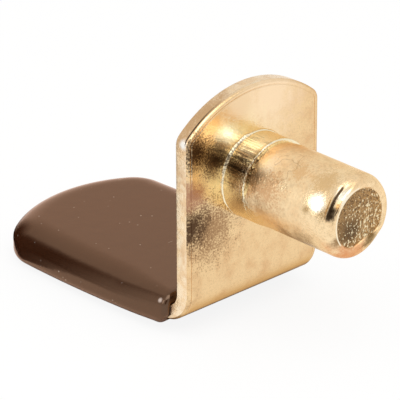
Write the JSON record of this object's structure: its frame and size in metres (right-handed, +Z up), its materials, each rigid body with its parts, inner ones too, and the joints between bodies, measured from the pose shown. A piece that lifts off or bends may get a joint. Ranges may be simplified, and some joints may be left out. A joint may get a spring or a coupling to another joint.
{
  "type": "shelf support pin",
  "caption": "L-shaped plated shelf support with a stepped round pin staked through its plate and a soft brown sleeve over the ledge.",
  "frame": {"origin": "on the pin's axis, in the plate's face that seats against the cabinet side", "axes": "-Y out along the pin, +Y along the ledge under the shelf, +X across the strip, +Z up"},
  "size_m": [0.0144, 0.0313, 0.0177],
  "materials": {
    "plated_strip": "bright brass plating over a tumbled, slightly grainy steel strip",
    "plated_pin": "bright brass plating, smooth on the collar, pitted on the shank, coarse on the sheared end",
    "vinyl": "glossy soft brown vinyl with a few dust specks and scratches"
  },
  "bodies": {
    "root": {"bracket": "plated_strip", "pin": "plated_pin", "sleeve": "vinyl"}
  },
  "joints": []
}
